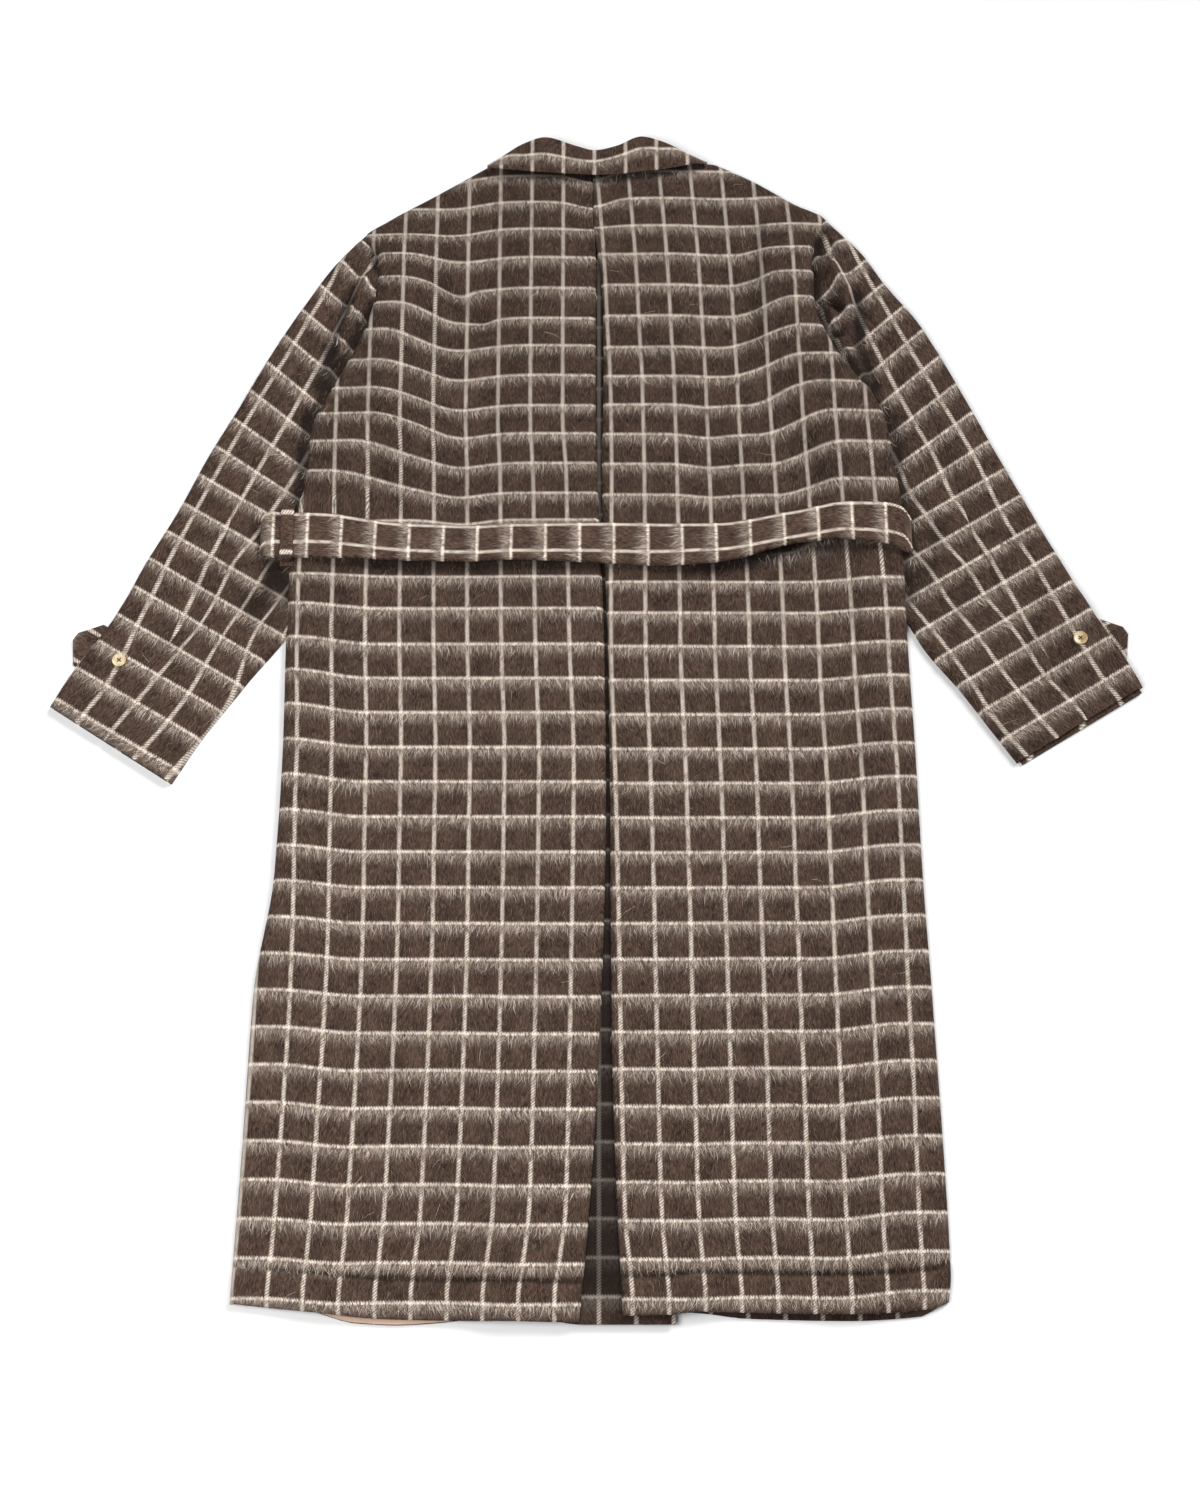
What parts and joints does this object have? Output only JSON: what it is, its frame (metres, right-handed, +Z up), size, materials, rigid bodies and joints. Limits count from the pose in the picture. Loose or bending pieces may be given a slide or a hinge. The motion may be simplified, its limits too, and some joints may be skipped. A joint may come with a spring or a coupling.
{
  "type": "overcoat",
  "caption": "Long belted overcoat in brushed windowpane-check wool, laid flat on its front with its back up, showing the collar, centre-back pleat, set-in sleeves, cuff straps and buttons.",
  "frame": {"origin": "middle of the coat's outline, on the surface it lies on", "axes": "+X across the back towards the wearer's right, +Y from hem to collar, +Z up out of the back"},
  "size_m": [1.099, 1.27, 0.0218],
  "materials": {
    "coating": "dark brown brushed wool with off-white windowpane lines and a long soft nap",
    "lining": "smooth tan lining",
    "horn": "pale polished horn-like button"
  },
  "bodies": {
    "root": {"back_left": "coating", "back_right": "coating", "pleat_underlay": "coating", "front_left": "coating", "front_right": "coating", "lining_left": "lining", "top_sleeve_left": "coating", "top_sleeve_right": "coating", "under_sleeve_left": "coating", "under_sleeve_right": "coating", "lower_sleeve_left": "coating", "lower_sleeve_right": "coating", "collar_fall": "coating", "collar_stand": "coating", "collar_end_left": "coating", "collar_end_right": "coating", "belt": "coating", "belt_loop": "coating", "cuff_strap_left": "coating", "cuff_strap_right": "coating", "cuff_button_left": "horn", "cuff_button_right": "horn"}
  },
  "joints": []
}
